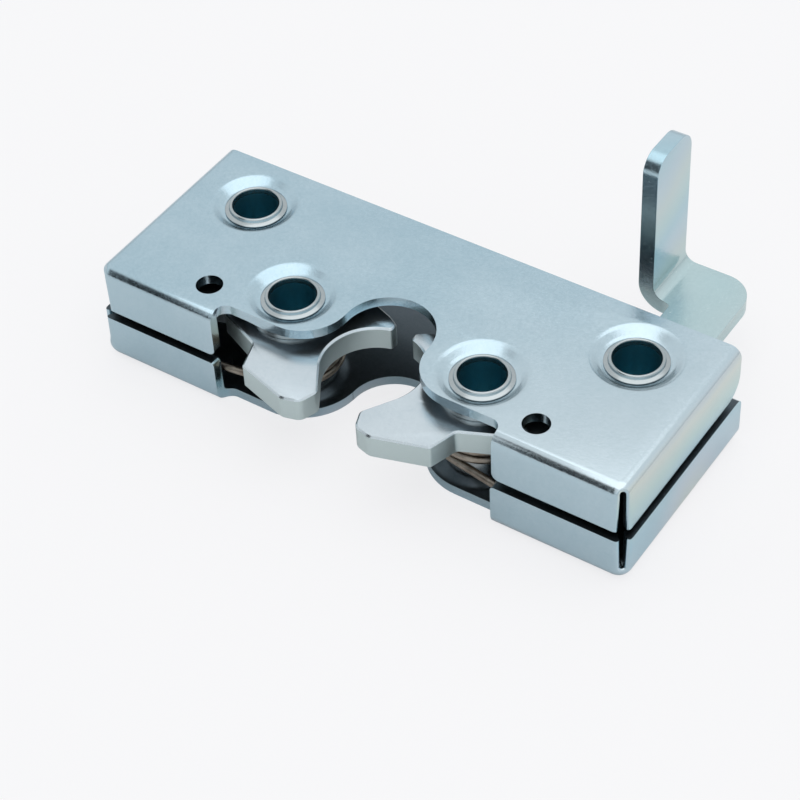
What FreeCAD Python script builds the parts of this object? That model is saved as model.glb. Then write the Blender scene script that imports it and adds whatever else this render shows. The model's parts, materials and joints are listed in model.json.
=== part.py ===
import FreeCAD
import Part
import math
import os

# Double-claw rotary latch with a trip lever, all sizes in millimetres.
# The origin is on the lower face, midway between the two rear bolt holes.
# +X runs to the lever's side, +Y to the open back, the mouth for the striker faces -Y.

# Housing, two pressed halves of sheet steel
housing_length = 108.0
housing_height = 21.0
front_setback = 28.9
back_margin = 10.7
sheet = 1.9
upper_bend_radius = 2.2
lower_bend_radius = 2.8
lower_spread = 0.6
corner_radius = 2.6
least_inner_radius = 0.3
parting_gap = 1.4
slit_mouth_width = 1.25
slit_end_width = 0.9
slit_edge_rounding = 0.5
slit_select_margin = 0.05
upper_slit_cover = 1.3
lower_slit_cover = 2.9
upper_rear_corner_radius = 4.0
upper_free_corner_radius = 1.4
lower_rear_corner_radius = 1.5
lower_free_corner_radius = 0.8

# Mouth for the striker
mouth_half_width = 8.45
mouth_depth = 21.15
upper_lobe_radius = 8.5
lower_lobe_radius = 11.0
front_flange_length = 25.3
upper_recess_depth = 3.8
lower_recess_depth = 2.6
recess_corner_radius = 2.0

# Bolt bushings
rear_bolt_end_margin = 14.25
front_bolt_spacing = 39.1
bolt_row_spacing = 16.8
bolt_bore_radius = 4.15
bushing_neck_radius = 5.2
bushing_head_radius = 5.7
journal_radius = 6.2
shoulder_radius = 6.9
head_recess = 0.05
head_ring_height = 0.3
head_ring_rise = 0.12
head_ring_rounding = 0.15
lip_outer_radius = 4.9
lip_top_radius = 4.27
lip_rounding = 0.28
bore_flare_height = 0.75
running_clearance = 0.05

# Pressed seats round the bushings
seat_depth = 1.2
seat_hollow_radius = 6.2
seat_hollow_rounding = 1.8
seat_boss_rounding = 1.8
seat_hollow_outer_radius = 8.0
seat_boss_radius = 7.0
seat_boss_outer_radius = 8.8

# Pilot holes in the upper plate and half-pierced lugs in the lower one
pilot_hole_end_margin = 20.5
pilot_hole_setback = 22.4
pilot_hole_radius = 2.45
pilot_lug_height = 1.1
pilot_lug_radius = 2.4

# Moving plates and washers
claw_thickness = 5.0
lever_thickness = 3.0
washer_radius = 7.6
washer_thickness = 0.95
washer_clearance = 0.05

# Claws, given for the right one about its own pivot
throat_radius = 9.2
throat_drop = 4.3
claw_hub_radius = 10.2
tooth_tip_radius = 12.3
tooth_face_angle = -26.0
tooth_back_angle = -33.0
tooth_root_depth = 0.6
tooth_tip_rounding = 0.5
tooth_back_rounding = 0.6
claw_tip_rounding = 0.6
claw_edge_break = 0.35

# Claw outlines as x, y and corner rounding, from the pivot round and back to it
claw_hook_outline = [
    (-11.4, -8.6),
    (-15.2, -14.7, 1.5),
    (-13.9, -18.2, 2.0),
    (-10.6, -19.1, 2.5),
    (-0.3, -16.0, 0.7),
    (1.4, -10.6, 1.2),
]
claw_finger_outline = [
    (-11.4, -8.6),
    (-17.35, 4.4),
    (-17.6, 6.3, 0.9),
    (-15.4, 7.6, 1.6),
    (-7.0, 10.6, 10.0),
    (0.0, 10.1),
]
claw_throat_tip = claw_finger_outline[1]

# Pawls, given for the right one about its own pivot
pawl_hub_radius = 9.6
pawl_tip_engagement = 1.2
pawl_tip_gap = 1.05
pawl_tip_width = 6.8
pawl_crook_x = -8.4
pawl_crook_y = -4.7
pawl_crook_radius = 3.0
mesh_rise = 6.1
mesh_finger_radius = 1.6
mesh_clearance = 0.45
mesh_neck_half_width = 0.8
mesh_prong_thickness = 1.8
mesh_prong_reach = 1.0
mesh_slot_depth = 3.1
mesh_neck_length = 4.5
mesh_shoulder = 2.8
mesh_shoulder_rounding = 1.5
mesh_neck_rounding = 0.5
fork_root_reach = 6.0
fork_root_rounding = 6.0
fork_tip_rounding = 0.8
fork_slot_rounding = 0.6

# Trip lever
lever_left_reach = 6.1
lever_right_reach = 5.1
lever_length = 35.6
lever_corner_radius = 5.8
tab_width = 12.1
tab_top_level = 42.0
tab_bend_radius = 2.3
tab_bend_offset = 7.4
tab_front_corner_radius = 3.5
tab_back_corner_radius = 4.0
tab_relief = 0.5
tab_relief_rounding = 0.6

# Outline of the lever under the right pawl as x, y and corner rounding about the pivot
lever_foot_outline = [
    (-16.2, 0.1, 3.0),
    (-16.2, 6.5, 3.0),
    (-4.0, 9.0, 2.0),
    (6.0, 6.0, 2.0),
    (8.6, -5.0, 4.0),
    (1.4, -16.6, 3.2),
    (-7.3, -16.6, 3.2),
    (-8.8, -4.5, 3.0),
]

# Rivets that join the lever to the right pawl
rivet_radius = 1.9
rivet_head_radius = 3.1
rivet_head_height = 1.1
rivet_head_rounding = 0.8
strut_rivet_place = (-3.0, -13.0)
arm_rivet_place = (-12.6, 3.3)

# Torsion springs
spring_radius = 7.9
spring_wire_radius = 0.75
spring_leg_angle = 9.0
spring_leg_end = 10.5
spring_end_angle = 150.0
spring_rise = 4.45
spring_whole_turns = 2
spring_least_pitch = 1.6
spring_under_gap = 0.2
spring_end_rise = 3.4
spring_hole_radius = 0.95
pawl_spring_leg_angle = 17.0
pawl_spring_leg_end = 10.0

# Places worked out from the sizes above
half_length = housing_length / 2
front_y = -front_setback
recess_half_width = half_length - front_flange_length
front_x = front_bolt_spacing / 2
rear_x = half_length - rear_bolt_end_margin
pilot_x = half_length - pilot_hole_end_margin
front_row_y = -bolt_row_spacing
middle_z = housing_height / 2
half_height = (housing_height - parting_gap) / 2
seat_level = sheet + seat_depth
claw_top = housing_height - seat_level - washer_thickness - washer_clearance
claw_level = claw_top - claw_thickness
lever_level = claw_level - lever_thickness
mouth_top_y = front_y + mouth_depth
OVER = 1.0


def vec(x, y, z=0.0):
    return FreeCAD.Vector(x, y, z)


def polar(radius, degrees):
    return (radius * math.cos(math.radians(degrees)), radius * math.sin(math.radians(degrees)))


def rounded_wire(points, place):
    """Closed wire through corners (u, v, radius), with an arc at each corner that has a radius."""
    flat = [(p[0], p[1], p[2] if len(p) > 2 else 0.0) for p in points]
    entries = []
    for i, (u, v, radius) in enumerate(flat):
        corner = vec(u, v)
        if radius == 0:
            entries.append((corner, None, corner))
            continue
        before = (vec(*flat[i - 1][:2]) - corner).normalize()
        after = (vec(*flat[(i + 1) % len(flat)][:2]) - corner).normalize()
        half_angle = before.getAngle(after) / 2
        reach = radius / math.tan(half_angle)
        bisector = (before + after).normalize()
        middle = corner + bisector * (radius / math.sin(half_angle) - radius)
        entries.append((corner + before * reach, middle, corner + after * reach))
    edges = []
    for i, (start, middle, end) in enumerate(entries):
        if middle is not None:
            arc = Part.Arc(place(start), place(middle), place(end))
            edges.append(arc.toShape())
        following = entries[(i + 1) % len(entries)][0]
        if end.distanceToPoint(following) > 1e-6:
            edges.append(Part.LineSegment(place(end), place(following)).toShape())
    return Part.Wire(Part.__sortEdges__(edges))


def plate(points, z_low, thickness):
    """Flat plate with a rounded outline in the XY plane."""
    wire = rounded_wire(points, lambda p: vec(p.x, p.y, z_low))
    return Part.Face(wire).extrude(vec(0, 0, thickness))


def turned(points):
    """Solid of revolution about Z from a rounded profile of radius and height."""
    wire = rounded_wire(points, lambda p: vec(p.x, 0, p.y))
    return Part.Face(wire).revolve(vec(0, 0, 0), vec(0, 0, 1), 360)


def tangent_point(radius, x, y, side):
    """Where a line from a point meets a circle about the origin, side 1 on its left, -1 on its right."""
    swing = math.degrees(math.acos(radius / math.hypot(x, y)))
    return polar(radius, math.degrees(math.atan2(y, x)) + side * swing)


def disc(radius, z_low, thickness, x=0.0, y=0.0):
    return Part.makeCylinder(radius, thickness, vec(x, y, z_low))


def moved(shape, x, y, z=0.0):
    copy = shape.copy()
    copy.translate(vec(x, y, z))
    return copy


def mirrored_x(shape):
    return shape.mirror(vec(0, 0, 0), vec(1, 0, 0))


def flipped(shape):
    """The same shape turned upside down about the housing's middle level."""
    return shape.mirror(vec(0, 0, middle_z), vec(0, 0, 1))


def clean(shape):
    return shape.removeSplitter()


def edges_along(shape, direction, test):
    """Straight edges in a direction whose middle passes a test."""
    found = []
    for edge in shape.Edges:
        run = edge.Vertexes[-1].Point - edge.Vertexes[0].Point
        if run.Length < 1e-6 or abs(run.Length - edge.Length) > 1e-6:
            continue
        if abs(run.normalize().dot(direction)) > 0.999 and test(edge.CenterOfMass):
            found.append(edge)
    return found


def nearest_edge(edges, x, y):
    """The upright edge whose middle is nearest to a place."""
    return min(edges, key=lambda edge: math.hypot(edge.CenterOfMass.x - x, edge.CenterOfMass.y - y))


def rim_edges(shape, z, test):
    """Edges that lie at one level and whose middle passes a test."""
    found = []
    for edge in shape.Edges:
        box = edge.BoundBox
        if abs(box.ZMin - z) < 1e-4 and abs(box.ZMax - z) < 1e-4 and test(edge.CenterOfMass):
            found.append(edge)
    return found


def tray(plan_radius, top_bend, spread, low, high, back):
    """Block with rounded front corners and a rounded top edge, square at the back."""
    x = half_length + spread
    y = front_y - spread
    points = [(-x, back), (-x, y, plan_radius), (x, y, plan_radius), (x, back)]
    block = plate(points, low, high - low)
    top = rim_edges(block, high, lambda c: c.y < back - 0.01)
    return block.makeFillet(top_bend, top)


def mouth_cutter(lobe_radius, recess_depth):
    """The opening for the striker with its lobes beside the front bushings and the wide recess."""
    w = mouth_half_width
    recess_y = front_y + recess_depth
    side = [
        (recess_half_width, front_y - lower_spread - OVER),
        (recess_half_width, recess_y, recess_corner_radius),
        (w, recess_y, lobe_radius),
        (w, mouth_top_y, w),
    ]
    mirrored = [(-p[0],) + p[1:] for p in reversed(side)]
    return plate(side + mirrored, -OVER, housing_height + 2 * OVER)


def corner_slit_cutter(spread, cover):
    """Tapered slot up the right front corner, where the side and front flanges meet."""
    length = 4 * sheet
    low = housing_height - half_height
    high = housing_height - cover
    taper = (slit_mouth_width - slit_end_width) / 2 / (high - low)
    half_mouth = slit_mouth_width / 2 + taper * OVER
    half_end = slit_end_width / 2
    section = [
        (-half_mouth, low - OVER),
        (half_mouth, low - OVER),
        (half_end, high, half_end * 0.9),
        (-half_end, high, half_end * 0.9),
    ]
    wire = rounded_wire(section, lambda p: vec(-length / 2, p.x, p.y))
    cutter = Part.Face(wire).extrude(vec(length, 0, 0))
    cutter.rotate(vec(0, 0, 0), vec(0, 0, 1), -45)
    return moved(cutter, half_length + spread - sheet / 2, front_y - spread + sheet / 2)


def slit_rims(shell, spread):
    """Outer edges of both corner slits."""
    centre_x = half_length + spread - corner_radius
    centre_y = front_y - spread + corner_radius
    found = []
    for edge in shell.Edges:
        c = edge.CenterOfMass
        out = (abs(c.x) - centre_x - c.y + centre_y) / math.sqrt(2)
        aside = (abs(c.x) - centre_x + c.y - centre_y) / math.sqrt(2)
        beside_slit = abs(aside) < slit_mouth_width / 2 + slit_select_margin
        if beside_slit and out > corner_radius - sheet / 2:
            found.append(edge)
    return found


def pressed_seat():
    """Ring of the upper plate round a bushing, pressed down to seat on the bushing's journal."""
    top = housing_height
    under = top - sheet
    profile = [
        (bushing_neck_radius, under - seat_depth),
        (seat_boss_radius, under - seat_depth, seat_boss_rounding),
        (seat_boss_outer_radius, under, seat_boss_rounding),
        (seat_boss_outer_radius + OVER, under),
        (seat_boss_outer_radius + OVER, top),
        (seat_hollow_outer_radius, top, seat_hollow_rounding),
        (seat_hollow_radius, top - seat_depth, seat_hollow_rounding),
        (bushing_neck_radius, top - seat_depth),
    ]
    return turned(profile)


def housing_half(mouth, bend, spread, slit_cover, rear_radius, free_radius):
    """One pressed half in the upper place: plate, side and front flanges, seats, mouth and slits."""
    low = housing_height - half_height
    inner_corner = max(corner_radius - sheet, least_inner_radius)
    inner_bend = max(bend - sheet, least_inner_radius)
    under = housing_height - sheet
    shell = tray(corner_radius, bend, spread, low, housing_height, back_margin)
    hollow = tray(inner_corner, inner_bend, spread - sheet, low - OVER, under, back_margin + OVER)
    shell = shell.cut(hollow)
    clear_radius = seat_boss_outer_radius + OVER
    for x, y in bolt_places():
        shell = shell.cut(disc(clear_radius, middle_z, middle_z + OVER, x, y))
        shell = shell.fuse(moved(pressed_seat(), x, y))
    shell = clean(shell)
    shell = shell.cut(mouth)
    slit = corner_slit_cutter(spread, slit_cover)
    shell = shell.cut(slit).cut(mirrored_x(slit))
    shell = shell.makeFillet(slit_edge_rounding, slit_rims(shell, spread))
    rear = edges_along(
        shell, vec(1, 0, 0), lambda c: abs(c.y - back_margin) < 0.01 and abs(c.z - low) < 0.01
    )
    shell = shell.makeFillet(rear_radius, rear)
    free = edges_along(
        shell, vec(0, 1, 0), lambda c: abs(abs(c.x) - recess_half_width) < 0.01 and abs(c.z - low) < 0.01
    )
    return shell.makeFillet(free_radius, free)


def bolt_places():
    return [
        (-rear_x, 0.0),
        (rear_x, 0.0),
        (-front_x, front_row_y),
        (front_x, front_row_y),
    ]


def pilot_places():
    return [(-pilot_x, -pilot_hole_setback), (pilot_x, -pilot_hole_setback)]


def upper_housing():
    mouth = mouth_cutter(upper_lobe_radius, upper_recess_depth)
    shell = housing_half(
        mouth, upper_bend_radius, 0.0, upper_slit_cover, upper_rear_corner_radius, upper_free_corner_radius
    )
    for x, y in pilot_places():
        shell = shell.cut(disc(pilot_hole_radius, middle_z, middle_z + OVER, x, y))
    return clean(shell)


def lower_housing():
    mouth = mouth_cutter(lower_lobe_radius, lower_recess_depth)
    shell = housing_half(
        mouth,
        lower_bend_radius,
        lower_spread,
        lower_slit_cover,
        lower_rear_corner_radius,
        lower_free_corner_radius,
    )
    shell = flipped(shell)
    for x, y in pilot_places():
        shell = shell.cut(disc(pilot_lug_radius, -OVER, OVER + pilot_lug_height, x, y))
        shell = shell.fuse(disc(pilot_lug_radius, pilot_lug_height, sheet, x, y))
    return clean(shell)


def bushing(shoulder_top):
    """Turned tube between the plates, swaged over at both ends, with a shoulder under the moving plate."""
    top = housing_height - head_recess
    floor = housing_height - seat_depth
    ring_top = floor + head_ring_height
    seat = housing_height - seat_level
    head = [
        (bushing_neck_radius, seat),
        (bushing_neck_radius, floor),
        (bushing_head_radius, floor),
        (bushing_head_radius, ring_top, head_ring_rounding),
        (lip_outer_radius, ring_top + head_ring_rise, head_ring_rounding),
        (lip_outer_radius, top, lip_rounding),
        (lip_top_radius, top, lip_rounding),
        (bolt_bore_radius, top - bore_flare_height),
    ]
    foot = [(r[0], housing_height - r[1]) + tuple(r[2:]) for r in reversed(head)]
    body = [
        (shoulder_radius, seat_level),
        (shoulder_radius, shoulder_top),
        (journal_radius, shoulder_top),
        (journal_radius, seat),
    ]
    return turned(foot + body + head)


def claw():
    """Right claw about its pivot: front hook, rear finger and the tooth that the pawl holds."""
    throat_x = -front_x
    tooth_face_tip = polar(tooth_tip_radius, tooth_face_angle)
    tooth_back_tip = polar(tooth_tip_radius, tooth_back_angle)
    tooth_root = polar(claw_hub_radius - tooth_root_depth, tooth_face_angle)
    hook = [
        (0.0, 0.0),
        *claw_hook_outline,
        tooth_back_tip + (tooth_back_rounding,),
        tooth_face_tip + (tooth_tip_rounding,),
        tooth_root,
    ]
    finger = [(0.0, 0.0), *claw_finger_outline]
    body = plate(hook, claw_level, claw_thickness)
    body = body.fuse(plate(finger, claw_level, claw_thickness))
    body = body.fuse(disc(claw_hub_radius, claw_level, claw_thickness))
    throat = disc(throat_radius, claw_level - OVER, claw_thickness + 2 * OVER, throat_x, -throat_drop)
    body = body.cut(throat)
    body = clean(body)
    upright = edges_along(body, vec(0, 0, 1), lambda c: True)
    body = body.makeFillet(claw_tip_rounding, [nearest_edge(upright, *claw_throat_tip)])
    top_rim = rim_edges(body, claw_top, lambda c: True)
    under_rim = rim_edges(body, claw_level, lambda c: True)
    body = body.makeChamfer(claw_edge_break, top_rim + under_rim)
    bore = disc(journal_radius + running_clearance, claw_level - OVER, claw_thickness + 2 * OVER)
    x, y = polar(spring_radius, spring_end_angle)
    spring_hole = disc(spring_hole_radius, claw_level - OVER, claw_thickness + 2 * OVER, x, y)
    return body.cut(bore).cut(spring_hole)


def pawl_tip_corner():
    """Inner corner of the pawl's tip, seen from the right pawl's pivot."""
    along = polar(1.0, tooth_face_angle)
    square = polar(1.0, tooth_face_angle + 90)
    reach = tooth_tip_radius - pawl_tip_engagement
    x = front_x + reach * along[0] + pawl_tip_gap * square[0] - rear_x
    y = front_row_y + reach * along[1] + pawl_tip_gap * square[1]
    return x, y


def pawl_blank(arm_end):
    """Pawl plate about its pivot: hub, strut to the claw's tooth and an inner arm that ends as given."""
    tip_x, tip_y = pawl_tip_corner()
    strut_length = math.hypot(tip_x, tip_y)
    tip_angle = math.degrees(math.atan2(tip_y, tip_x))
    far_angle = tip_angle + math.degrees(pawl_tip_width / strut_length)
    stretch = 1 + OVER / strut_length
    near_x = pawl_crook_x + (tip_x - pawl_crook_x) * stretch
    near_y = pawl_crook_y + (tip_y - pawl_crook_y) * stretch
    far_x, far_y = polar(strut_length + OVER, far_angle)
    strut_foot = tangent_point(pawl_hub_radius, far_x, far_y, 1)
    arm_foot = tangent_point(pawl_hub_radius, arm_end[-1][0], arm_end[-1][1], -1)
    outline = [
        (0.0, 0.0),
        arm_foot,
        *reversed(arm_end),
        (pawl_crook_x, pawl_crook_y, pawl_crook_radius),
        (near_x, near_y),
        (far_x, far_y),
        strut_foot,
    ]
    body = plate(outline, claw_level, claw_thickness)
    body = body.common(disc(strut_length, claw_level, claw_thickness).fuse(arm_side_block()))
    return body.fuse(disc(pawl_hub_radius, claw_level, claw_thickness))


def arm_side_block():
    """Everything behind the strut, where the inner arm may reach further than the strut does."""
    reach = housing_length
    return Part.makeBox(2 * reach, reach, claw_thickness, vec(-reach, pawl_crook_y - OVER, claw_level))


def finish_pawl(body):
    bore = disc(journal_radius + running_clearance, claw_level - OVER, claw_thickness + 2 * OVER)
    return clean(body).cut(bore)


def right_pawl():
    """Pawl on the lever's side, whose inner arm ends in a round finger."""
    shoulder = -rear_x + mesh_neck_length
    n = mesh_neck_half_width
    arm = [
        (shoulder, mesh_rise - mesh_shoulder, mesh_shoulder_rounding),
        (shoulder, mesh_rise - n, mesh_neck_rounding),
        (-rear_x, mesh_rise - n),
        (-rear_x, mesh_rise + n),
        (shoulder, mesh_rise + n, mesh_neck_rounding),
        (shoulder, mesh_rise + mesh_shoulder, mesh_shoulder_rounding),
    ]
    body = pawl_blank(arm)
    body = body.fuse(disc(mesh_finger_radius, claw_level, claw_thickness, -rear_x, mesh_rise))
    body = finish_pawl(body)
    for x, y in (strut_rivet_place, arm_rivet_place):
        body = body.cut(disc(rivet_radius, claw_level - OVER, claw_thickness + 2 * OVER, x, y))
    return body


def left_pawl():
    """Pawl on the plain side, made as the right one and mirrored, with a fork for the finger."""
    half_slot = mesh_finger_radius + mesh_clearance
    half_fork = half_slot + mesh_prong_thickness
    tip_x = -rear_x - mesh_prong_reach
    root_x = -rear_x + fork_root_reach
    slot_x = -rear_x + mesh_slot_depth
    arm = [
        (root_x, mesh_rise - half_fork, fork_root_rounding),
        (tip_x, mesh_rise - half_fork, fork_tip_rounding),
        (tip_x, mesh_rise - half_slot, fork_slot_rounding),
        (slot_x, mesh_rise - half_slot, fork_slot_rounding),
        (slot_x, mesh_rise + half_slot, fork_slot_rounding),
        (tip_x, mesh_rise + half_slot, fork_slot_rounding),
        (tip_x, mesh_rise + half_fork, fork_tip_rounding),
        (root_x, mesh_rise + half_fork, fork_root_rounding),
    ]
    body = finish_pawl(pawl_blank(arm))
    x, y = polar(spring_radius, pawl_spring_end_angle())
    hole = disc(spring_hole_radius, claw_level - OVER, claw_thickness + 2 * OVER, x, y)
    return mirrored_x(body.cut(hole))


def lever_rivet():
    """Rivet with a low head below the lever and one above the pawl."""
    z = lever_level - rivet_head_height
    top = claw_top + rivet_head_height
    shank = disc(rivet_radius, lever_level, claw_top - lever_level)
    r = rivet_head_radius
    low_head = turned([(0, z), (r, z, rivet_head_rounding), (r, lever_level), (0, lever_level)])
    top_head = turned([(0, claw_top), (r, claw_top), (r, top, rivet_head_rounding), (0, top)])
    return clean(shank.fuse(low_head).fuse(top_head))


def trip_lever():
    """Lever plate about the right rear pivot, with its tab bent up along the left edge."""
    tab_front = lever_length - tab_width
    base = [
        (-lever_left_reach, 0.0),
        (-lever_left_reach, tab_front - tab_relief, tab_relief_rounding),
        (-tab_bend_offset, tab_front),
        (-tab_bend_offset, lever_length),
        (lever_right_reach, lever_length, lever_corner_radius),
        (lever_right_reach, 0.0),
    ]
    body = plate(base, lever_level, lever_thickness)
    body = body.fuse(plate(lever_foot_outline, lever_level, lever_thickness))
    body = body.fuse(disc(pawl_hub_radius, lever_level, lever_thickness))
    inner_x = -tab_bend_offset - tab_bend_radius
    outer_x = inner_x - lever_thickness
    axis_z = lever_level + lever_thickness + tab_bend_radius
    section = rounded_wire(
        [
            (-tab_bend_offset, lever_level),
            (-tab_bend_offset, lever_level + lever_thickness),
            (inner_x, lever_level + lever_thickness, tab_bend_radius),
            (inner_x, axis_z),
            (outer_x, axis_z),
            (outer_x, lever_level, tab_bend_radius + lever_thickness),
        ],
        lambda p: vec(p.x, tab_front, p.y),
    )
    bend = Part.Face(section).extrude(vec(0, tab_width, 0))
    tab_wire = rounded_wire(
        [
            (tab_front, axis_z),
            (tab_front, tab_top_level, tab_front_corner_radius),
            (lever_length, tab_top_level, tab_back_corner_radius),
            (lever_length, axis_z),
        ],
        lambda p: vec(outer_x, p.x, p.y),
    )
    tab = Part.Face(tab_wire).extrude(vec(lever_thickness, 0, 0))
    body = clean(body.fuse(bend).fuse(tab))
    bore = disc(journal_radius + running_clearance, lever_level - OVER, lever_thickness + 2 * OVER)
    body = body.cut(bore)
    for x, y in (strut_rivet_place, arm_rivet_place):
        body = body.cut(disc(rivet_radius, lever_level - OVER, lever_thickness + 2 * OVER, x, y))
    x, y = polar(spring_radius, pawl_spring_end_angle())
    return body.cut(disc(spring_hole_radius, lever_level - OVER, lever_thickness + 2 * OVER, x, y))


def pawl_spring_end_angle():
    """Angle of the bent end of a pawl spring, seen about the right rear pivot."""
    return 180 - spring_end_angle + 90


def torsion_spring(leg_angle, leg_end, start_level, end_level, hook_top):
    """Coil about Z with a straight leg to the front right and an upturned end on the other side.

    From the leg the wire runs clockwise, seen from above, and rises.
    """
    wire = spring_wire_radius
    start_angle = -90 - leg_angle
    rise = end_level - start_level
    part_turn = (start_angle - spring_end_angle) % 360
    room_turns = int((rise / spring_least_pitch * 360 - part_turn) / 360)
    sweep = part_turn + 360 * max(0, min(spring_whole_turns, room_turns))
    helix = Part.makeLongHelix(rise * 360 / sweep, rise, spring_radius, 0, True)
    helix.rotate(vec(0, 0, 0), vec(0, 0, 1), start_angle)
    helix.translate(vec(0, 0, start_level))
    path = Part.Wire(helix.Edges)
    first = path.OrderedEdges[0]
    start_point = first.valueAt(first.FirstParameter)
    tangent = first.tangentAt(first.FirstParameter)
    circle = Part.Wire(Part.makeCircle(wire, start_point, tangent))
    coil = path.makePipeShell([circle], True, True)
    start_x, start_y = polar(spring_radius, start_angle)
    run_x = leg_end - start_x
    run_y = -run_x * math.tan(math.radians(leg_angle))
    leg_start = vec(start_x, start_y, start_level)
    leg = Part.makeCylinder(wire, math.hypot(run_x, run_y), leg_start, vec(run_x, run_y))
    end_x, end_y = polar(spring_radius, spring_end_angle)
    knee = Part.makeSphere(wire, vec(end_x, end_y, end_level))
    knuckle = Part.makeSphere(wire, leg_start)
    hook = Part.makeCylinder(wire, hook_top - end_level, vec(end_x, end_y, end_level))
    return clean(coil.fuse([leg, knuckle, knee, hook]))


def spring_start(end_level):
    """Level of a spring's first turn, as low as its rise or the lower seat allows."""
    lowest = seat_level + spring_wire_radius + spring_under_gap
    return max(end_level - spring_rise, lowest)


def claw_spring():
    end_level = claw_level - spring_under_gap - spring_wire_radius
    hook_top = claw_level + spring_end_rise
    return torsion_spring(spring_leg_angle, spring_leg_end, spring_start(end_level), end_level, hook_top)


def pawl_spring(under_level):
    """Spring of a rear pivot: the claw spring's mirror image, turned a quarter so its leg meets the side."""
    end_level = under_level - spring_under_gap - spring_wire_radius
    spring = torsion_spring(
        pawl_spring_leg_angle,
        pawl_spring_leg_end,
        spring_start(end_level),
        end_level,
        under_level + lever_thickness - spring_under_gap,
    )
    spring = mirrored_x(spring)
    spring.rotate(vec(0, 0, 0), vec(0, 0, 1), 90)
    return spring


def thrust_washer():
    """Washer between a moving plate and the pressed seat above it."""
    low = claw_top + washer_clearance
    ring = disc(washer_radius, low, washer_thickness)
    return ring.cut(disc(journal_radius, low - OVER, washer_thickness + 2 * OVER))


def build_nodes():
    """All pieces in the part's own frame, by node name."""
    under_claw = claw_level - running_clearance
    under_lever = lever_level - running_clearance
    right_claw = moved(claw(), front_x, front_row_y)
    right_spring = moved(claw_spring(), front_x, front_row_y)
    front_bushing = moved(bushing(under_claw), front_x, front_row_y)
    washer = thrust_washer()
    nodes = {
        "upper_housing": upper_housing(),
        "lower_housing": lower_housing(),
        "front_bushing_right": front_bushing,
        "front_bushing_left": mirrored_x(front_bushing),
        "rear_bushing_right": moved(bushing(under_lever), rear_x, 0),
        "rear_bushing_left": moved(bushing(under_claw), -rear_x, 0),
        "claw_washer_right": moved(washer, front_x, front_row_y),
        "claw_washer_left": moved(washer, -front_x, front_row_y),
        "pawl_washer_right": moved(washer, rear_x, 0),
        "pawl_washer_left": moved(washer, -rear_x, 0),
        "claw_right": right_claw,
        "claw_left": mirrored_x(right_claw),
        "claw_spring_right": right_spring,
        "claw_spring_left": mirrored_x(right_spring),
        "pawl_right": moved(right_pawl(), rear_x, 0),
        "pawl_left": moved(left_pawl(), -rear_x, 0),
        "pawl_spring_right": moved(pawl_spring(lever_level), rear_x, 0),
        "pawl_spring_left": mirrored_x(moved(pawl_spring(claw_level), rear_x, 0)),
        "trip_lever": moved(trip_lever(), rear_x, 0),
    }
    for name, (x, y) in (("lever_rivet_strut", strut_rivet_place), ("lever_rivet_arm", arm_rivet_place)):
        nodes[name] = moved(lever_rivet(), rear_x + x, y)
    return nodes


def main():
    os.makedirs("parts", exist_ok=True)
    for name, shape in build_nodes().items():
        solid = shape.Solids[0] if len(shape.Solids) == 1 else shape
        solid.exportStep("parts/" + name + ".step")
        print(name, "solids", len(shape.Solids), "valid", shape.isValid(), "volume", round(shape.Volume, 1))


main()
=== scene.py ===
"""Double-claw rotary latch in zinc-plated steel: finishes, dressed pieces, studio light and camera."""

import json
import logging
import math
from collections.abc import Callable
from dataclasses import dataclass, field
from enum import Enum

import bmesh
import bpy
from mathutils import Matrix, Vector

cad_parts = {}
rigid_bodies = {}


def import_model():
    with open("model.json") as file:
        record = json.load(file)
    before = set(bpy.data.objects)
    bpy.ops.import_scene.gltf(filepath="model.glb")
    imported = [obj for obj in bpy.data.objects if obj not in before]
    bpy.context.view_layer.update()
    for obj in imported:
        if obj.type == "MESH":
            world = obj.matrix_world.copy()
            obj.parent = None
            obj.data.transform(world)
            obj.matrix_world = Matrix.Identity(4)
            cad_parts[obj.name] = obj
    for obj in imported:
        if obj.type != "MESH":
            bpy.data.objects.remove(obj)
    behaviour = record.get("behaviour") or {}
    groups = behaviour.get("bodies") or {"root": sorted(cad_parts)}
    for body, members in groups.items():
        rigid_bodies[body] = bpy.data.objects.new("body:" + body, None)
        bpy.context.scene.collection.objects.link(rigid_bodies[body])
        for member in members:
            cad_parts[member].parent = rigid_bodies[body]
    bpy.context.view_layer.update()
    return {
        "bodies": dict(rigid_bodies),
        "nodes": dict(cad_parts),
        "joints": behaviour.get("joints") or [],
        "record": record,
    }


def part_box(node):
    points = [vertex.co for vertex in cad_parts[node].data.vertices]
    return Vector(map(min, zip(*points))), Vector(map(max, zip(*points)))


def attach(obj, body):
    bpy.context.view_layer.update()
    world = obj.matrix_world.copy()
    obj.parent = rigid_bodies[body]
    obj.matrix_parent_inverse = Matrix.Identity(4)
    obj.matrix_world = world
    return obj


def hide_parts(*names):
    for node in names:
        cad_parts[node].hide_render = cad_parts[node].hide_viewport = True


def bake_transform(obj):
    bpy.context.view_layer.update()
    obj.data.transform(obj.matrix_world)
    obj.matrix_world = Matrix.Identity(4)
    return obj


LOG = logging.getLogger("latch")
MM = 0.001
Colour = tuple[float, float, float]
FILM = ((0.77, 0.79, 0.71), (0.60, 0.77, 0.73), (0.46, 0.68, 0.78), (0.64, 0.72, 0.80))
FILM_PLACES = (0.30, 0.55, 0.78)
FILM_START = 0.84
CLOUD_SCALE = 60.0
CLOUD_SHARE = 0.35
BUMP_DEPTH = 0.00012


class Body(Enum):
    """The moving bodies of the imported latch."""

    HOUSING = "housing"
    LEVER = "lever"
    LEFT_PAWL = "left_pawl"
    RIGHT_CLAW = "right_claw"
    LEFT_CLAW = "left_claw"


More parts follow.
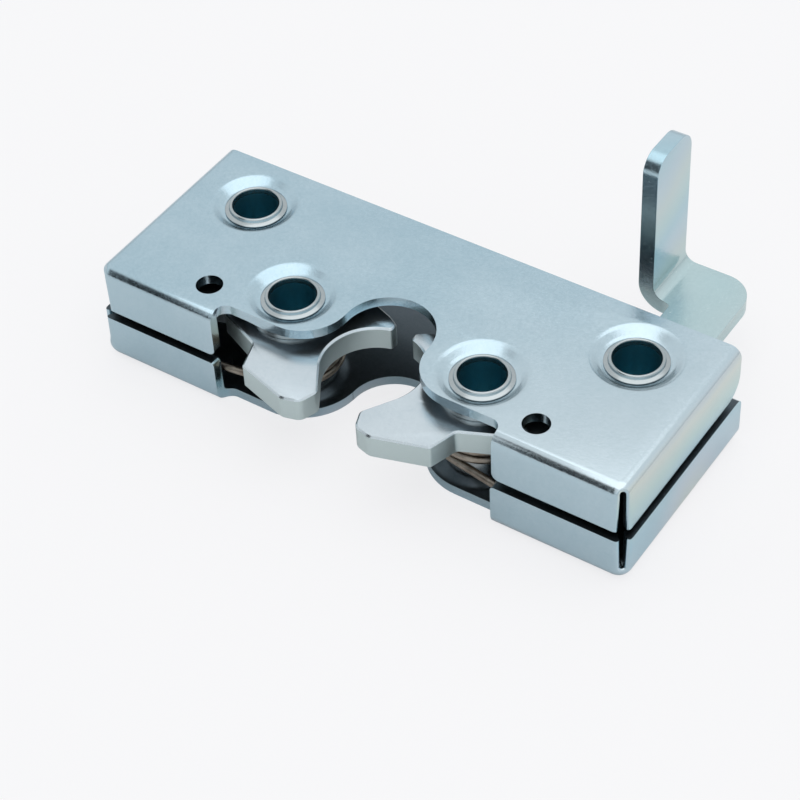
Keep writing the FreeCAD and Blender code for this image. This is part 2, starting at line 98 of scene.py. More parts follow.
class Slot(Enum):
    """The record's material slots."""

    HOUSING = "housing_steel"
    CLAW = "claw_steel"
    LEVER = "lever_steel"
    BUSHING = "bushing_steel"
    WIRE = "spring_wire"


class NodePen:
    """Writes shader nodes into a tree, with one short call for each node."""

    def __init__(self, tree: bpy.types.NodeTree) -> None:
        """Start on an emptied tree.

        Args:
            tree: The node tree to write into.
        """
        self.tree = tree
        tree.nodes.clear()

    def node(self, kind: str, inputs: dict | None = None, **settings: object) -> bpy.types.Node:
        """Add a node.

        Args:
            kind: The node's type name, such as ShaderNodeMath.
            inputs: Values or output sockets for its inputs, by name or number.
            settings: Attributes of the node itself.

        Returns:
            The new node.
        """
        made = self.tree.nodes.new(kind)
        for name, value in settings.items():
            setattr(made, name, value)
        for name, value in (inputs or {}).items():
            self.feed(made, name, value)
        return made

    def feed(self, node: bpy.types.Node, name: str | int, value: object) -> None:
        """Set or link one input of a node.

        Args:
            node: The node.
            name: The input's name or number.
            value: A number, a colour or an output socket.
        """
        if isinstance(value, bpy.types.NodeSocket):
            self.tree.links.new(value, node.inputs[name])
        else:
            node.inputs[name].default_value = value

    def math(
        self, operation: str, first: object, second: object = 0.0, clamp: bool = False
    ) -> bpy.types.NodeSocket:
        """Add a maths node.

        Args:
            operation: The operation's name, such as MULTIPLY.
            first: The first value or socket.
            second: The second value or socket.
            clamp: Whether the result stays between 0 and 1.

        Returns:
            Its output socket.
        """
        made = self.node("ShaderNodeMath", {0: first, 1: second}, operation=operation, use_clamp=clamp)
        return made.outputs[0]

    def mix(self, factor: object, first: object, second: object) -> bpy.types.NodeSocket:
        """Mix two colours.

        Args:
            factor: The share of the second colour.
            first: The first colour or socket.
            second: The second colour or socket.

        Returns:
            The mixed colour's socket.
        """
        made = self.node("ShaderNodeMix", data_type="RGBA", blend_type="MIX", clamp_factor=True)
        self.feed(made, 0, factor)
        self.feed(made, 6, first)
        self.feed(made, 7, second)
        return made.outputs[2]

    def spread(
        self, value: object, low: float, high: float, to_low: float = 0.0, to_high: float = 1.0
    ) -> bpy.types.NodeSocket:
        """Map a value smoothly from one span to another.

        Args:
            value: The value or socket.
            low: Where the input span starts.
            high: Where the input span ends.
            to_low: The result at the start.
            to_high: The result at the end.

        Returns:
            The mapped value's socket.
        """
        made = self.node(
            "ShaderNodeMapRange",
            {0: value, 1: low, 2: high, 3: to_low, 4: to_high},
            interpolation_type="SMOOTHSTEP",
        )
        return made.outputs[0]

    def noise(
        self, vector: object, scale: float, detail: float = 2.0, rough: float = 0.5
    ) -> bpy.types.NodeSocket:
        """Add a noise texture.

        Args:
            vector: The coordinates.
            scale: Its scale, in cycles per metre.
            detail: How many octaves it has.
            rough: How strong the small octaves are.

        Returns:
            The noise value's socket.
        """
        made = self.node(
            "ShaderNodeTexNoise", {"Vector": vector, "Scale": scale, "Detail": detail, "Roughness": rough}
        )
        return made.outputs["Fac"]


class SharedEffects:
    """Node groups that more than one finish uses, each built once."""

    groups: dict[str, bpy.types.NodeTree] = {}

    @classmethod
    def group(cls, name: str, sockets_in: dict, sockets_out: dict, write: Callable) -> bpy.types.NodeTree:
        """Return a node group, built on first use.

        Args:
            name: The group's name.
            sockets_in: Input names with their socket type and default.
            sockets_out: Output names with their socket type.
            write: The function that writes the group's nodes.

        Returns:
            The node group.
        """
        if name in cls.groups:
            return cls.groups[name]
        tree = bpy.data.node_groups.new(name, "ShaderNodeTree")
        for label, (kind, default) in sockets_in.items():
            socket = tree.interface.new_socket(label, in_out="INPUT", socket_type=kind)
            if default is not None:
                socket.default_value = default
        for label, kind in sockets_out.items():
            tree.interface.new_socket(label, in_out="OUTPUT", socket_type=kind)
        write(NodePen(tree))
        cls.groups[name] = tree
        return tree

    @classmethod
    def zinc_crystals(cls) -> bpy.types.NodeTree:
        """Return the fine sparkle and soft clouds of a zinc coat."""
        sockets_in = {
            "Vector": ("NodeSocketVector", None),
            "Crystal": ("NodeSocketFloat", 2600.0),
            "Cloud": ("NodeSocketFloat", CLOUD_SCALE),
        }
        sockets_out = {"Crystals": "NodeSocketFloat", "Clouds": "NodeSocketFloat"}

        def write(pen: NodePen) -> None:
            """Write the group's nodes."""
            given = pen.node("NodeGroupInput")
            result = pen.node("NodeGroupOutput")
            fine = pen.node("ShaderNodeTexNoise", {"Detail": 3.0, "Roughness": 0.7})
            pen.feed(fine, "Vector", given.outputs["Vector"])
            pen.feed(fine, "Scale", given.outputs["Crystal"])
            cells = pen.node("ShaderNodeTexVoronoi", {"Randomness": 1.0})
            pen.feed(cells, "Vector", given.outputs["Vector"])
            pen.feed(cells, "Scale", given.outputs["Crystal"])
            cloud = pen.node("ShaderNodeTexNoise", {"Detail": 4.0, "Roughness": 0.6})
            pen.feed(cloud, "Vector", given.outputs["Vector"])
            pen.feed(cloud, "Scale", given.outputs["Cloud"])
            cell_value = pen.node("ShaderNodeSeparateColor", {0: cells.outputs["Color"]}).outputs[0]
            cell_part = pen.math("MULTIPLY", cell_value, 0.45)
            both = pen.math("ADD", cell_part, pen.math("MULTIPLY", fine.outputs["Fac"], 0.55))
            pen.feed(result, "Crystals", both)
            pen.feed(result, "Clouds", pen.spread(cloud.outputs["Fac"], 0.3, 0.7))

        return cls.group("Zinc crystals", sockets_in, sockets_out, write)


@dataclass(frozen=True)
class Finish:
    """A blue-white zinc coat on steel, with its own tint, gloss and grain."""

    name: str
    slot: Slot
    colour: Colour = (0.41, 0.56, 0.64)
    pale: Colour = (0.57, 0.70, 0.77)
    # painted highlight: paler, more neutral colour laid on flat faces towards the lever's side and the front
    bright: Colour = (0.70, 0.77, 0.80)
    painted_highlight_share: float = 0.0
    film_share: float = 0.0
    film_on_sides_only: bool = True
    side_colour: Colour = (0.52, 0.62, 0.62)
    side_share: float = 0.0
    roughness: float = 0.24
    roughness_spread: float = 0.12
    crystal_scale: float = 2600.0
    crystal_bump: float = 0.16
    sparkle: float = 0.50
    side_grain: float = 0.0
    bend_grain: float = 0.0

    def build(self) -> bpy.types.Material:
        """Build the material.

        Returns:
            The finished material.
        """
        material = bpy.data.materials.new(self.name)
        material.use_nodes = True
        pen = NodePen(material.node_tree)
        place = pen.node("ShaderNodeTexCoord")
        where = place.outputs["Object"]
        zinc = pen.node("ShaderNodeGroup", node_tree=SharedEffects.zinc_crystals())
        pen.feed(zinc, "Vector", where)
        pen.feed(zinc, "Crystal", self.crystal_scale)
        pen.feed(zinc, "Cloud", CLOUD_SCALE)
        crystals = zinc.outputs["Crystals"]
        clouds = pen.math("MULTIPLY", zinc.outputs["Clouds"], CLOUD_SHARE)
        tone = pen.math("ADD", clouds, pen.math("MULTIPLY", crystals, self.sparkle), clamp=True)
        colour = pen.mix(tone, (*self.colour, 1.0), (*self.pale, 1.0))
        normal = pen.node("ShaderNodeSeparateXYZ", {0: place.outputs["Normal"]})
        side = pen.spread(pen.math("ABSOLUTE", normal.outputs["Z"]), 0.75, 0.35)
        # painted highlight on the flat faces towards the lever's side and the front
        colour = self.paint_highlight(pen, where, side, colour)
        colour = self.add_film(pen, where, normal, colour)
        if self.side_share > 0.0:
            colour = pen.mix(pen.math("MULTIPLY", side, self.side_share), colour, (*self.side_colour, 1.0))
        spread = pen.math("MULTIPLY", crystals, self.roughness_spread)
        rough = pen.math("ADD", self.roughness - self.roughness_spread / 2, spread)
        height = crystals
        if self.side_grain > 0.0:
            stretched = pen.node("ShaderNodeMapping", {"Vector": where, "Scale": (1.0, 1.0, 0.22)})
            grain = pen.noise(stretched.outputs[0], 1900.0, 3.0, 0.65)
            torn = pen.math("MULTIPLY", side, self.side_grain)
            height = pen.math("ADD", height, pen.math("MULTIPLY", grain, pen.math("MULTIPLY", torn, 3.0)))
            rough = pen.math("ADD", rough, pen.math("MULTIPLY", torn, 0.18))
        if self.bend_grain > 0.0:
            bend = pen.math("MULTIPLY", side, pen.math("SUBTRACT", 1.0, side))
            peel = pen.math("MULTIPLY", pen.noise(where, 1100.0, 2.0, 0.6), self.bend_grain * 4)
            height = pen.math("ADD", height, pen.math("MULTIPLY", bend, peel))
        bump = pen.node(
            "ShaderNodeBump", {"Strength": self.crystal_bump, "Distance": BUMP_DEPTH, "Height": height}
        )
        surface = pen.node(
            "ShaderNodeBsdfPrincipled",
            {"Base Color": colour, "Metallic": 1.0, "Roughness": rough, "Normal": bump.outputs[0]},
        )
        pen.node("ShaderNodeOutputMaterial", {"Surface": surface.outputs[0]})
        return material

    def paint_highlight(self, pen: NodePen, where: object, side: object, colour: object) -> object:
        """Paint a highlight: make the flat coat paler and more neutral towards the lever's side and the
        front.

        Args:
            pen: Writes the nodes.
            where: The coordinates.
            side: How far the surface stands upright.
            colour: The colour so far.

        Returns:
            The colour with the painted highlight.
        """
        if self.painted_highlight_share <= 0.0:
            return colour
        across = pen.node("ShaderNodeSeparateXYZ", {0: where})
        run = pen.math("SUBTRACT", across.outputs["X"], across.outputs["Y"])
        cloudy = pen.math("MULTIPLY", pen.noise(where, 40.0, 2.0), 0.02)
        share = pen.spread(pen.math("ADD", run, cloudy), 0.0, 0.09, 0.0, self.painted_highlight_share)
        flat = pen.math("MULTIPLY", share, pen.math("SUBTRACT", 1.0, side))
        return pen.mix(flat, colour, (*self.bright, 1.0))

    def add_film(self, pen: NodePen, where: object, normal: bpy.types.Node, colour: object) -> object:
        """Add the faint rainbow of the passivation film.

        Args:
            pen: Writes the nodes.
            where: The coordinates.
            normal: The split normal.
            colour: The colour so far.

        Returns:
            The colour with the film.
        """
        if self.film_share <= 0.0:
            return colour
        level = pen.node("ShaderNodeSeparateXYZ", {0: where}).outputs["Z"]
        drift = pen.math("MULTIPLY", pen.noise(where, 28.0, 1.5), 1.6)
        wave = pen.math("ADD", drift, pen.math("MULTIPLY", level, -45.0))
        phase = pen.math("FRACT", pen.math("ADD", wave, FILM_START))
        ramp = pen.node("ShaderNodeValToRGB", {"Fac": phase})
        stops = ramp.color_ramp.elements
        stops[0].color = (*FILM[0], 1.0)
        stops[-1].color = (*FILM[0], 1.0)
        for place, tint in zip(FILM_PLACES, FILM[1:]):
            stops.new(place).color = (*tint, 1.0)
        share = self.film_share
        if self.film_on_sides_only:
            share = pen.math("MULTIPLY", pen.spread(normal.outputs["X"], 0.5, 0.9), self.film_share)
        return pen.mix(share, colour, ramp.outputs["Color"])


@dataclass(frozen=True)
class WireFinish:
    """Drawn spring wire with a brown oily film."""

    name: str = "drawn spring wire"
    slot: Slot = Slot.WIRE
    colour: Colour = (0.21, 0.18, 0.15)
    pale: Colour = (0.38, 0.34, 0.29)

    def build(self) -> bpy.types.Material:
        """Build the material.

        Returns:
            The finished material.
        """
        material = bpy.data.materials.new(self.name)
        material.use_nodes = True
        pen = NodePen(material.node_tree)
        where = pen.node("ShaderNodeTexCoord").outputs["Object"]
        film = pen.noise(where, 420.0, 3.0, 0.6)
        colour = pen.mix(pen.spread(film, 0.35, 0.7), (*self.colour, 1.0), (*self.pale, 1.0))
        grain = pen.noise(where, 2200.0)
        bump = pen.node("ShaderNodeBump", {"Strength": 0.08, "Distance": 0.0001, "Height": grain})
        surface = pen.node(
            "ShaderNodeBsdfPrincipled",
            {
                "Base Color": colour,
                "Metallic": 1.0,
                "Roughness": pen.spread(film, 0.2, 0.8, 0.26, 0.44),
                "Normal": bump.outputs[0],
            },
        )
        pen.node("ShaderNodeOutputMaterial", {"Surface": surface.outputs[0]})
        return material


class Workshop:
    """Holds the frame and the finishes, and turns meshes into dressed pieces."""

    def __init__(self, frame: dict) -> None:
        """Keep the frame; each finish is built later, on first use.
        """
        self.frame = frame
        self.made: dict[str, bpy.types.Material] = {}

    def material(self, finish: Finish | WireFinish) -> bpy.types.Material:
        """Return a finish's material, built on first use.

        Args:
            finish: The finish.

        Returns:
            Its material.
        """
        if finish.name not in self.made:
            self.made[finish.name] = finish.build()
        return self.made[finish.name]

    def piece(
        self,
        name: str,
        mesh: bmesh.types.BMesh,
        finish: Finish | WireFinish,
        body: Body,
        *nodes: str,
        across: tuple[Body, Vector, Vector] | None = None,
    ) -> bpy.types.Object:
        """Make a piece that rides on a body, or is baked in place on no body, and stands for its CAD nodes.

        Args:
            name: The piece's name.
            mesh: Its mesh, which is freed.
            finish: Its finish.
            body: The body it rides on.
            nodes: The CAD nodes that it replaces.
            across: For a piece meant to twist, the other body and where the twist would start and end; its
                values are not used, only whether it is given, and the piece is then baked in place without
                twisting.

        Returns:
            The new object.
        """
        data = bpy.data.meshes.new(name)
        mesh.to_mesh(data)
        mesh.free()
        data.shade_smooth()
        data.materials.append(self.material(finish))
        made = bpy.data.objects.new(name, data)
        bpy.context.scene.collection.objects.link(made)
        if across is None:
            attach(made, body.value)
        else:
            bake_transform(made)
        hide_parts(*nodes)
        LOG.info("%s: %d faces on %s", name, len(data.polygons), body.value)
        return made

    def copy_of(self, node: str) -> bmesh.types.BMesh:
        """Copy a CAD node's mesh, with doubles merged and flat stretches joined.

        Args:
            node: The node's name.

        Returns:
            The merged mesh.
        """
        mesh = bmesh.new()
        mesh.from_mesh(self.frame["nodes"][node].data)
        bmesh.ops.remove_doubles(mesh, verts=mesh.verts, dist=0.002 * MM)
        bmesh.ops.dissolve_limit(mesh, angle_limit=math.radians(0.4), verts=mesh.verts, edges=mesh.edges)
        return mesh

    @staticmethod
    def soften(made: bpy.types.Object, width: float, segments: int = 2, angle: float = 32.0) -> None:
        """Round a piece's sharp edges.

        Args:
            made: The piece.
            width: The rounding's width in metres.
            segments: How many faces the rounding has.
            angle: The smallest angle between faces that counts as sharp, in degrees.
        """
        made.data.set_sharp_from_angle(angle=math.radians(angle))
        bevel = made.modifiers.new("Edge rounding", "BEVEL")
        bevel.width = width
        bevel.segments = segments
        bevel.limit_method = "ANGLE"
        bevel.angle_limit = math.radians(angle)
        bevel.harden_normals = True
        bevel.miter_outer = "MITER_ARC"


def turned(
    profile: list[tuple[float, float]], centre: tuple[float, float], steps: int = 96
) -> bmesh.types.BMesh:
    """Spin a closed profile round a vertical axis.

    Args:
        profile: Corners as radius and height in millimetres, in order round the section.
        centre: The axis in millimetres.
        steps: How many steps the full turn has.

    Returns:
        The turned mesh.
    """
    mesh = bmesh.new()
    axis = Vector((centre[0] * MM, centre[1] * MM, 0.0))
    points = [mesh.verts.new(axis + Vector((radius * MM, 0.0, height * MM))) for radius, height in profile]
    edges = [mesh.edges.new((points[i - 1], points[i])) for i in range(len(points))]
    upright = Vector((0.0, 0.0, 1.0))
    section = points + edges
    bmesh.ops.spin(
        mesh, geom=section, cent=axis, axis=upright, angle=math.tau, steps=steps, use_merge=True
    )
    bmesh.ops.remove_doubles(mesh, verts=mesh.verts, dist=0.001 * MM)
    bmesh.ops.recalc_face_normals(mesh, faces=mesh.faces)
    return mesh


@dataclass
class Housing:
    """The two pressed halves of the housing."""

    finish: Finish = Finish(
        "zinc on pressed sheet",
        Slot.HOUSING,
        # painted highlight on the flat top towards the lever's side and the front
        painted_highlight_share=0.6,
        film_share=0.7,
        roughness=0.20,
        bend_grain=1.6,
    )
    # painted shade: near-black zinc laid on the inner faces and the sheared parting edges, where only shade
    # falls
    inner_shade_finish: Finish = Finish(
        "zinc with painted inner shade",
        Slot.HOUSING,
        colour=(0.06, 0.08, 0.09),
        pale=(0.11, 0.13, 0.15),
        roughness=0.36,
        crystal_bump=0.08,
        side_grain=0.6,
    )
    edge: float = 0.22 * MM
    sheet: float = 1.9 * MM
    slack: float = 0.1 * MM
    height: float = 21.0 * MM
    parting_zone: float = 2.0 * MM

    def paint_inner_shade(self, mesh: bmesh.types.BMesh, low: Vector, high: Vector) -> None:
        """Give the inner faces and the sheared parting edges the second material, a painted shade.

        Args:
            mesh: The half's mesh.
            low: The lowest corner of the half's CAD box.
            high: The highest corner of the half's CAD box.
        """
        wall = self.sheet - self.slack
        for face in mesh.faces:
            middle = face.calc_center_median()
            across = low.x + wall < middle.x < high.x - wall
            along = low.y + wall < middle.y < high.y - wall
            between = wall < middle.z < self.height - wall
            near_parting = abs(middle.z - self.height / 2) < self.parting_zone
            sheared = near_parting and abs(face.normal.z) > 0.9
            if sheared or (across and along and between):
                face.material_index = 1

    def build(self, shop: Workshop) -> None:
        """Dress both halves.

        Args:
            shop: Where pieces are made.
        """
        for half in ("upper_housing", "lower_housing"):
            mesh = shop.copy_of(half)
            self.paint_inner_shade(mesh, *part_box(half))
            made = shop.piece(half + "_shell", mesh, self.finish, Body.HOUSING, half)
            # the second material is the painted shade inside the housing and in the parting gap
            made.data.materials.append(shop.material(self.inner_shade_finish))
            shop.soften(made, self.edge, 3)


@dataclass
class PlateParts:
    """Claws, pawls and lever: thick plates blanked from strip."""

    claw_finish: Finish = Finish(
        "zinc on blanked plate",
        Slot.CLAW,
        colour=(0.60, 0.68, 0.73),
        pale=(0.76, 0.82, 0.85),
        side_share=0.8,
        side_grain=1.0,
        sparkle=0.35,
        crystal_bump=0.04,
        roughness=0.25,
        roughness_spread=0.05,
    )
    # painted shade: the pawls sit inside the housing, so their zinc is painted dark for the shade there
    pawl_shade_finish: Finish = Finish(
        "zinc on pawl with painted shade",
        Slot.CLAW,
        colour=(0.20, 0.24, 0.26),
        pale=(0.30, 0.35, 0.38),
        roughness=0.34,
        side_grain=0.8,
    )
    lever_finish: Finish = Finish(
        "zinc on bent strip",
        Slot.LEVER,
        colour=(0.41, 0.57, 0.64),
        pale=(0.53, 0.69, 0.75),
        film_share=0.4,
        film_on_sides_only=False,
    )
    edge: float = 0.45 * MM

    def build(self, shop: Workshop) -> None:
        """Dress every plate part.

        Args:
            shop: Where pieces are made.
        """
        parts = [
            ("claw_right", self.claw_finish, Body.RIGHT_CLAW),
            ("claw_left", self.claw_finish, Body.LEFT_CLAW),
            # the pawls take the zinc with painted shade
            ("pawl_right", self.pawl_shade_finish, Body.LEVER),
            ("pawl_left", self.pawl_shade_finish, Body.LEFT_PAWL),
            ("trip_lever", self.lever_finish, Body.LEVER),
        ]
        for node, finish, body in parts:
            made = shop.piece(node + "_plate", shop.copy_of(node), finish, body, node)
            shop.soften(made, self.edge, 3)


@dataclass
class SpringSet:
    """The four torsion springs, each a rigid wire piece baked in place; the plate that would turn its bent
    end is named but not used.
    """

    finish: WireFinish = field(default_factory=WireFinish)
    wire: float = 1.5 * MM
    rise: float = 4.45 * MM

    def build(self, shop: Workshop) -> None:
        """Dress every spring.

        Args:
            shop: Where pieces are made.
        """
        turned_by = {
            "claw_spring_right": Body.RIGHT_CLAW,
            "claw_spring_left": Body.LEFT_CLAW,
            "pawl_spring_right": Body.LEVER,
            "pawl_spring_left": Body.LEFT_PAWL,
        }
        for node, plate in turned_by.items():
            low, _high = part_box(node)
            start = Vector((0.0, 0.0, low.z + self.wire))
            end = Vector((0.0, 0.0, low.z + self.rise))
            mesh = shop.copy_of(node)
            made = shop.piece(
                node + "_wire", mesh, self.finish, Body.HOUSING, node, across=(plate, start, end)
            )
            made.data.set_sharp_from_angle(angle=math.radians(50.0))


@dataclass
class TurnedParts:
    """Bushings, washers and rivets."""

    finish: Finish = Finish(
        "zinc on turned steel",
        Slot.BUSHING,
        colour=(0.42, 0.46, 0.47),
        pale=(0.55, 0.59, 0.60),
        roughness=0.22,
        roughness_spread=0.08,
        crystal_bump=0.03,
        sparkle=0.30,
    )
    # painted shade and reflection: saturated teal-blue for the shade and blue inter-reflections deep inside
    # the bore
    bore_shade_finish: Finish = Finish(
        "bushing bore with painted shade",
        Slot.BUSHING,
        colour=(0.22, 0.56, 0.66),
        pale=(0.28, 0.65, 0.75),
        roughness=0.30,
        roughness_spread=0.05,
        crystal_bump=0.02,
        sparkle=0.30,
    )
    bore: float = 4.15
    neck: float = 5.2
    head: float = 5.7
    journal: float = 6.2
    shoulder: float = 6.9
    washer: float = 7.6
    height: float = 21.0
    seat: float = 3.1
    dish: float = 1.2
    recess: float = 0.05
    crest: float = 0.32
    rivet: float = 1.9
    rivet_head: float = 3.1
    rivet_head_height: float = 1.1
    shoulder_under_claw: float = 11.85
    shoulder_under_lever: float = 8.85

    def head_section(self) -> list[tuple[float, float]]:
        """Return the swaged upper end's section, from the neck round to the bore."""
        floor = self.height - self.dish
        top = self.height - self.recess
        ring = [
            (self.neck, floor),
            (self.head - 0.30, floor),
            (self.head - 0.26, floor + 0.10),
            (self.head - 0.04, floor + 0.12),
            (self.head, floor + 0.16),
            (self.head, floor + 0.24),
            (self.head - 0.08, floor + 0.31),
            (self.bore + 1.0, floor + 0.4),
            (self.bore + 0.82, floor + 0.46),
            (self.bore + 0.74, floor + 0.6),
        ]
        radius = self.crest
        centre = (self.bore + 0.42, top - radius)
        turns = [math.radians(turn) for turn in range(0, 151, 15)]
        crest = [(centre[0] + radius * math.cos(a), centre[1] + radius * math.sin(a)) for a in turns]
        flare = [(self.bore + 0.12, top - 0.5), (self.bore + 0.05, top - 0.8), (self.bore, top - 1.15)]
        return ring + crest + flare

    def bushing(self, centre: tuple[float, float], shoulder_top: float) -> bmesh.types.BMesh:
        """Turn one bushing.

        Args:
            centre: Its axis in millimetres.
            shoulder_top: The level where its shoulder ends.

        Returns:
            Its mesh, whose bore faces have the second material, the bore's painted shade.
        """
        upper = self.head_section()
        lower = [(radius, self.height - level) for radius, level in reversed(upper)]
        body = [
            (self.neck, self.seat),
            (self.shoulder, self.seat),
            (self.shoulder, shoulder_top),
            (self.journal, shoulder_top),
            (self.journal, self.height - self.seat),
            (self.neck, self.height - self.seat),
        ]
        mesh = turned(lower + body + upper, centre)
        axis = Vector((centre[0] * MM, centre[1] * MM, 0.0))
        # bore faces take the second material, the painted shade of the bore
        for face in mesh.faces:
            middle = face.calc_center_median() - axis
            if math.hypot(middle.x, middle.y) < (self.bore + 0.01) * MM:
                face.material_index = 1
        return mesh

    def ring(self, centre: tuple[float, float], low: float, high: float) -> bmesh.types.BMesh:
        """Turn one thrust washer.

        Args:
            centre: Its axis in millimetres.
            low: Its lower level.
            high: Its upper level.

        Returns:
            Its mesh.
        """
        edge = 0.12
        section = [
            (self.journal, low),
            (self.washer - edge, low),
            (self.washer, low + edge),
            (self.washer, high - edge),
            (self.washer - edge, high),
            (self.journal, high),
        ]
        return turned(section, centre)

    def rivet_mesh(self, low_corner: Vector, high_corner: Vector) -> bmesh.types.BMesh:
        """Turn one rivet with two low domed heads.

        Args:
            low_corner: The lowest corner of its CAD box.
            high_corner: The highest corner of its CAD box.

        Returns:
            Its mesh.
        """
        centre = ((low_corner.x + high_corner.x) / 2 / MM, (low_corner.y + high_corner.y) / 2 / MM)
        low, high = low_corner.z / MM, high_corner.z / MM
        tall = self.rivet_head_height
        turns = (0.0, 0.35, 0.7, 1.05, 1.35)
        dome = [(self.rivet_head * math.cos(turn), tall * math.sin(turn)) for turn in turns]
        upper = [(radius, high - tall + rise) for radius, rise in dome] + [(0.0, high)]
        lower = [(0.0, low)] + [(radius, low + tall - rise) for radius, rise in reversed(dome)]
        middle = [(self.rivet, low + tall), (self.rivet, high - tall)]
        return turned(lower + middle + upper, centre, 48)

    def build(self, shop: Workshop) -> None:
        """Make every turned part.

        Args:
            shop: Where pieces are made.
        """
        for row in ("front", "rear"):
            for side in ("right", "left"):
                node = f"{row}_bushing_{side}"
                low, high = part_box(node)
                centre = ((low.x + high.x) / 2 / MM, (low.y + high.y) / 2 / MM)
                under_lever = row == "rear" and side == "right"
                shoulder = self.shoulder_under_lever if under_lever else self.shoulder_under_claw
                mesh = self.bushing(centre, shoulder)
                made = shop.piece(node + "_turned", mesh, self.finish, Body.HOUSING, node)
                # the second material is the bore's painted shade
                made.data.materials.append(shop.material(self.bore_shade_finish))
                made.data.set_sharp_from_angle(angle=math.radians(40.0))
                washer = ("claw" if row == "front" else "pawl") + f"_washer_{side}"
                low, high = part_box(washer)
                mesh = self.ring(centre, low.z / MM, high.z / MM)
                made = shop.piece(washer + "_turned", mesh, self.finish, Body.HOUSING, washer)
                made.data.set_sharp_from_angle(angle=math.radians(30.0))
        for node in ("lever_rivet_strut", "lever_rivet_arm"):
            mesh = self.rivet_mesh(*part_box(node))
            made = shop.piece(node + "_turned", mesh, self.finish, Body.LEVER, node)
            made.data.set_sharp_from_angle(angle=math.radians(50.0))


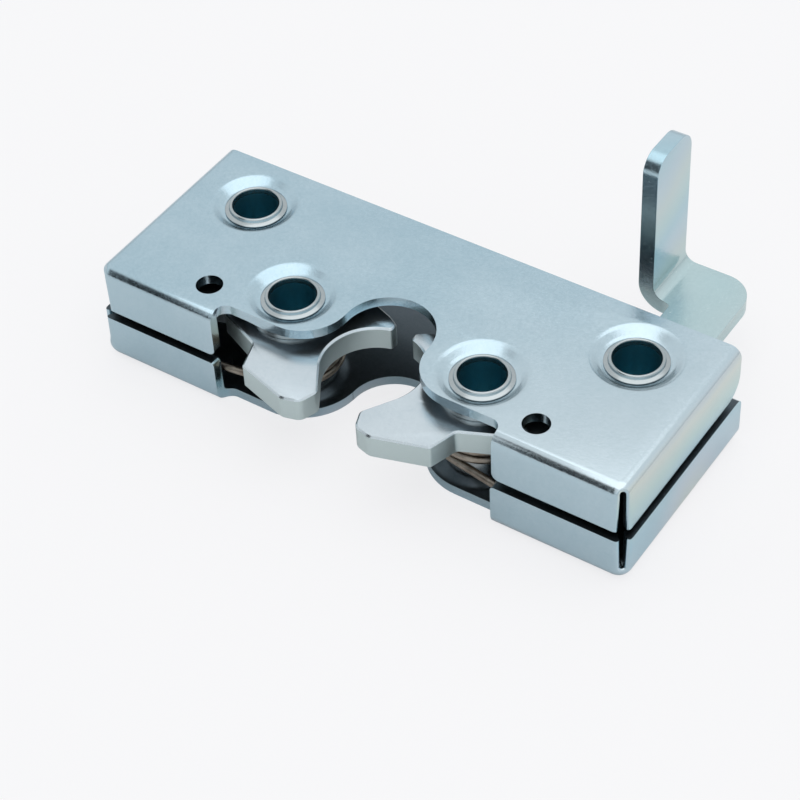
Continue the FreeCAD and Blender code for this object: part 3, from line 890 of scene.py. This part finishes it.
@dataclass
class Studio:
    """Pale floor and room, one softbox overhead, and the camera at the photograph's angle."""

    azimuth: float = 35.853
    elevation: float = 44.360
    roll: float = -3.388
    target: tuple[float, float, float] = (4.687 * MM, -20.190 * MM, 10.0 * MM)
    distance: float = 400.44 * MM
    lens: float = 104.27
    floor_size: float = 6.0
    floor_lift: float = 0.78
    box_place: tuple[float, float, float] = (0.05, 0.0, 0.60)
    box_size: tuple[float, float] = (0.8, 0.55)
    box_power: float = 0.9

    def build(self) -> None:
        """Build the floor, the lights, the world and the camera."""
        self.build_floor()
        self.build_world()
        self.softbox("overhead softbox", self.box_place, (0.0, 0.0, 0.0), self.box_size, self.box_power)
        self.build_camera()

    def build_floor(self) -> None:
        """Build the pale floor."""
        mesh = bmesh.new()
        bmesh.ops.create_grid(mesh, x_segments=1, y_segments=1, size=self.floor_size / 2)
        bmesh.ops.translate(mesh, verts=mesh.verts, vec=Vector((0.0, 0.0, -0.02 * MM)))
        data = bpy.data.meshes.new("floor")
        mesh.to_mesh(data)
        mesh.free()
        material = bpy.data.materials.new("pale floor")
        material.use_nodes = True
        pen = NodePen(material.node_tree)
        paint = pen.node("ShaderNodeBsdfDiffuse", {"Color": (0.87, 0.85, 0.84, 1.0)})
        plain = pen.node("ShaderNodeEmission", {"Color": (0.972, 0.972, 0.987, 1.0), "Strength": 1.0})
        seen = pen.node("ShaderNodeLightPath").outputs["Is Camera Ray"]
        share = pen.math("MULTIPLY", seen, self.floor_lift)
        surface = pen.node("ShaderNodeMixShader", {0: share, 1: paint.outputs[0], 2: plain.outputs[0]})
        pen.node("ShaderNodeOutputMaterial", {"Surface": surface.outputs[0]})
        data.materials.append(material)
        floor = bpy.data.objects.new("floor", data)
        bpy.context.scene.collection.objects.link(floor)

    def build_world(self) -> None:
        """Build the room: pale for the camera, with a dark card low at the front left for the metal."""
        world = bpy.data.worlds.new("studio room")
        world.use_nodes = True
        bpy.context.scene.world = world
        pen = NodePen(world.node_tree)
        place = pen.node("ShaderNodeTexCoord").outputs["Generated"]
        towards = pen.node("ShaderNodeSeparateXYZ", {0: place})
        rise = towards.outputs["Z"]
        colour = pen.mix(pen.spread(rise, 0.0, 0.45), (0.60, 0.63, 0.65, 1.0), (0.82, 0.85, 0.87, 1.0))
        front = pen.spread(towards.outputs["Y"], -0.10, -0.45)
        left = pen.spread(towards.outputs["X"], -0.08, -0.28)
        not_far_left = pen.spread(towards.outputs["X"], -0.72, -0.56)
        low = pen.spread(rise, 0.86, 0.66)
        sideways = pen.math("MULTIPLY", left, not_far_left)
        dim = pen.math("MULTIPLY", pen.math("MULTIPLY", front, low), sideways)
        colour = pen.mix(dim, colour, (0.02, 0.023, 0.026, 1.0))
        seen = pen.node("ShaderNodeLightPath").outputs["Is Camera Ray"]
        colour = pen.mix(seen, colour, (0.98, 0.985, 0.99, 1.0))
        room = pen.node("ShaderNodeBackground", {"Color": colour, "Strength": 1.0})
        pen.node("ShaderNodeOutputWorld", {"Surface": room.outputs[0]})

    def softbox(
        self, name: str, place: tuple, target: tuple, size: tuple[float, float], power: float
    ) -> None:
        """Add a rectangular lamp.

        Args:
            name: The lamp's name.
            place: Where it stands, in metres.
            target: What it faces.
            size: Its width and height in metres.
            power: Its power in watts.
        """
        lamp = bpy.data.lights.new(name, "AREA")
        lamp.shape = "RECTANGLE"
        lamp.size, lamp.size_y = size
        lamp.energy = power
        holder = bpy.data.objects.new(name, lamp)
        bpy.context.scene.collection.objects.link(holder)
        holder.location = place
        holder.rotation_euler = (Vector(target) - Vector(place)).to_track_quat("-Z", "Y").to_euler()

    def build_camera(self) -> None:
        """Place the camera at the photograph's angle."""
        turn, rise = math.radians(self.azimuth), math.radians(self.elevation)
        back = Vector((math.sin(turn) * math.cos(rise), -math.cos(turn) * math.cos(rise), math.sin(rise)))
        right = Vector((0.0, 0.0, 1.0)).cross(back).normalized()
        upright = Matrix((right, back.cross(right), back)).transposed()
        rotation = upright @ Matrix.Rotation(math.radians(self.roll), 3, "Z")
        data = bpy.data.cameras.new("camera")
        data.lens = self.lens
        data.sensor_width = 36.0
        data.clip_start = 0.01
        camera = bpy.data.objects.new("camera", data)
        bpy.context.scene.collection.objects.link(camera)
        place = Matrix.Translation(Vector(self.target) + back * self.distance)
        camera.matrix_world = place @ rotation.to_4x4()
        bpy.context.scene.camera = camera


def main() -> None:
    """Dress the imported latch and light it."""
    logging.basicConfig(level=logging.INFO, format="%(name)s %(message)s")
    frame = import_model()
    bpy.context.scene.view_settings.view_transform = "Standard"
    shop = Workshop(frame)
    for part in (Housing(), PlateParts(), SpringSet(), TurnedParts()):
        part.build(shop)
    Studio().build()


if __name__ == "__main__":
    main()
